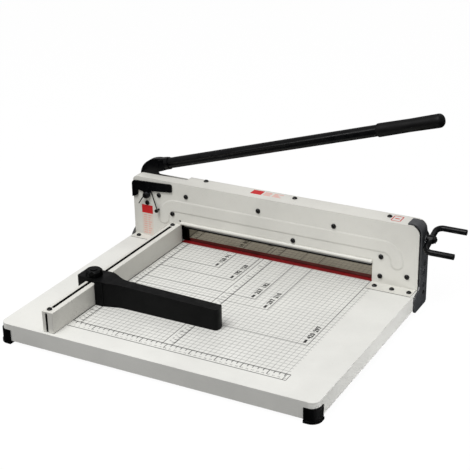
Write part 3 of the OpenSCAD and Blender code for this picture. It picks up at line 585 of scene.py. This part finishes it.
def front_label():
    """A plain sticker on the left of the panel: pale ground, red head, short pink bars."""
    left, right, low, head, top = -95.0, -68.5, 3.0, 52.0, 70.5
    bm = bmesh.new()
    label_patch(bm, left, low, right, top)
    add_piece("label_ground", bm, LABEL_PAPER, "housing")
    bm = bmesh.new()
    label_patch(bm, left, head, right, top, 0.2 * MM)
    add_piece("label_head", bm, LABEL_RED, "housing")
    bm = bmesh.new()
    for i in range(9):
        z = head - 4 - 5 * i
        for x, width in ((left + 3.5, 8.5), (left + 14.5, 8.5 - 2.0 * (i % 3))):
            label_patch(bm, x, z - 1.5, x + width, z, 0.2 * MM)
    add_piece("label_bars", bm, LABEL_PINK, "housing")


def top_marks():
    """Plain red stripes on top of the housing."""
    bm = bmesh.new()
    top_patch(bm, 154, 6, 178, 26)
    for y in (-0.7, 22.5):
        top_patch(bm, 460, y - 0.9, 476, y + 0.9)
    for x in (459, 477):
        top_patch(bm, x - 1, 0, x + 1, 22)
    top_patch(bm, 463.5, 9, 472.5, 12.5)
    add_piece("top_marks", bm, LABEL_RED, "housing")
    bm = bmesh.new()
    for i in range(4):
        for x, width in ((182, 16 - 2 * (i % 2)), (202, 20 - 5 * (i % 3))):
            top_patch(bm, x, 7.5 + 4.6 * i, x + width, 9.6 + 4.6 * i)
    add_piece("top_bars", bm, LABEL_PINK, "housing")


def top_patch(bm, x0, y0, x1, y1):
    corners = [at(x0, y0), at(x1, y0), at(x1, y1), at(x0, y1)]
    slab(bm, [c + Vector((0, 0, HOUSING_TOP * MM)) for c in corners], 0.15 * MM)


# ---- the clamp screw's visible thread ----


def screw_thread():
    """A helical ridge on the clamp screw between the side plate and the handle."""
    centre = Vector((0, (SCREW[0].y + SCREW[1].y) / 2, (SCREW[0].z + SCREW[1].z) / 2))
    root = (SCREW[1].z - SCREW[0].z) / 2 - 0.1 * MM
    crest = root + 0.9 * MM
    x0 = SIDE_PLATE[1].x + 0.4 * MM
    x1 = HANDLE[0].x - 0.3 * MM
    pitch, steps = 2.2 * MM, 40
    turns = (x1 - x0) / pitch
    bm = bmesh.new()
    rings = []
    for i in range(int(turns * steps) + 1):
        angle = 2 * math.pi * i / steps
        x = x0 + pitch * i / steps
        profile = ((-0.9, root), (-0.2, crest), (0.2, crest), (0.9, root))
        ring = [
            bm.verts.new(centre + Vector((x + dx * MM, r * math.cos(angle), r * math.sin(angle))))
            for dx, r in profile
        ]
        rings.append(ring)
    for a, b in zip(rings, rings[1:]):
        for j in range(4):
            k = (j + 1) % 4
            bm.faces.new((a[j], a[k], b[k], b[j]))
    bm.faces.new(rings[0])
    bm.faces.new(rings[-1][::-1])
    add_piece("clamp_screw_thread", bm, THREAD_STEEL, "clamp_spindle")


# ---- the gauge's pillar ----


def gauge_pillar():
    """A rounded upright pad on the gauge's front, where the arm meets the fence."""
    low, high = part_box("gauge_body")
    left, right = at(1.2, 0).x, at(19.5, 0).x
    front, rear, radius = low.y - 1.5 * MM, low.y + 2 * MM, 1.5 * MM
    outline = [(left, rear)]
    for middle, start in ((left + radius, 180), (right - radius, 270)):
        for turn in range(0, 91, 15):
            angle = math.radians(start + turn)
            outline.append((middle + radius * math.cos(angle), front + radius * (1 + math.sin(angle))))
    outline.append((right, rear))
    centre = Vector(((left + right) / 2, rear, 0))
    bm = bmesh.new()
    rings = []
    for z, shrink in ((low.z + 0.2 * MM, 1.0), (high.z - 4.2 * MM, 1.0), (high.z - 3.4 * MM, 0.9)):
        points = [centre + (Vector((x, y, 0)) - centre) * shrink for x, y in outline]
        rings.append([bm.verts.new((x, y, z)) for x, y, _ in points])
    for lower, upper in zip(rings, rings[1:]):
        for i in range(len(lower)):
            j = (i + 1) % len(lower)
            bm.faces.new((lower[i], lower[j], upper[j], upper[i]))
    bm.faces.new(rings[0][::-1])
    bm.faces.new(rings[-1])
    add_piece("gauge_pillar", bm, SLOT_MATERIALS["black_plastic"], "gauge")


# ---- light, floor and camera ----


def camera_only(tree, seen, unseen):
    """Mixes two numbers or colours: one for what the camera sees, one for the light that bounces."""
    mix = tree.nodes.new("ShaderNodeMix")
    mix.data_type = "RGBA"
    mix.inputs["A"].default_value = rgba(unseen)
    mix.inputs["B"].default_value = rgba(seen)
    tree.links.new(tree.nodes.new("ShaderNodeLightPath").outputs["Is Camera Ray"], mix.inputs["Factor"])
    return mix.outputs["Result"]


def make_floor():
    """A plain pale floor that throws little light back up, so the apron stays in shade."""
    bm = bmesh.new()
    bmesh.ops.create_grid(bm, x_segments=2, y_segments=2, size=12.0)
    mesh = bpy.data.meshes.new("floor")
    bm.to_mesh(mesh)
    bm.free()
    s = Shader("floor_pale")
    s.put(s.bsdf.inputs["Emission Color"], camera_only(s.tree, (251, 251, 251), (0, 0, 0)))
    s.put(s.bsdf.inputs["Emission Strength"], 1.0)
    mesh.materials.append(s.finish((60, 60, 60), 0.9, Specular_IOR_Level=0.0))
    floor = bpy.data.objects.new("floor", mesh)
    bpy.context.scene.collection.objects.link(floor)


def make_light():
    """Soft light from high in front and a low strip on the right, under a sky seen as white."""
    world = bpy.data.worlds.new("sky")
    world.use_nodes = True
    tree = world.node_tree
    sky = camera_only(tree, (255, 255, 255), (172, 171, 171))
    tree.links.new(sky, tree.nodes["Background"].inputs["Color"])
    bpy.context.scene.world = world
    add_light("key", (-0.35, -1.25, 2.6), 1.8, 62.0)
    add_light("back", (0.2, 1.9, 2.4), 1.8, 6.0)
    edge = TABLE[1].x + 0.12
    add_light("low", (edge, 0.0, 0.015), 0.75, 0.34, (0.0, 0.0, 0.015), 0.02)
    bpy.context.scene.view_settings.view_transform = "Standard"
    bpy.context.scene.view_settings.exposure = 0.0


def add_light(name, place, size, power, target=(0, 0, 0.1), height=None):
    """A soft oval light, as high as it is wide unless a height is given, that the camera can't see."""
    light = bpy.data.lights.new(name, "AREA")
    light.shape = "ELLIPSE"
    light.size = size
    light.size_y = height or size
    light.energy = power
    obj = bpy.data.objects.new(name, light)
    obj.location = place
    obj.rotation_mode = "QUATERNION"
    obj.rotation_quaternion = (Vector(target) - Vector(place)).to_track_quat("-Z", "Y")
    obj.visible_camera = False
    bpy.context.scene.collection.objects.link(obj)


def make_camera():
    """The camera stands in front, a little to the right, and looks down at the table."""
    azimuth, elevation, roll = math.radians(28.64), math.radians(23.58), math.radians(-1.03)
    look = Vector((
        -math.sin(azimuth) * math.cos(elevation),
        math.cos(azimuth) * math.cos(elevation),
        -math.sin(elevation),
    ))
    right = look.cross(Vector((0, 0, 1))).normalized()
    up = right.cross(look)
    right, up = right * math.cos(roll) + up * math.sin(roll), up * math.cos(roll) - right * math.sin(roll)
    camera = bpy.data.objects.new("camera", bpy.data.cameras.new("camera"))
    turn = Matrix((right, up, -look)).transposed().to_4x4()
    camera.matrix_world = Matrix.Translation(at(1212.4, -1997.9, 1029.3)) @ turn
    camera.data.sensor_width = 36.0
    camera.data.lens = 92.73
    camera.data.clip_end = 100.0
    bpy.context.scene.collection.objects.link(camera)
    bpy.context.scene.camera = camera


dress_cad_nodes()
print_grid()
print_rulers()
print_numbers()
print_sizes()
front_label()
top_marks()
screw_thread()
gauge_pillar()
make_floor()
make_light()
make_camera()

bpy.context.view_layer.update()
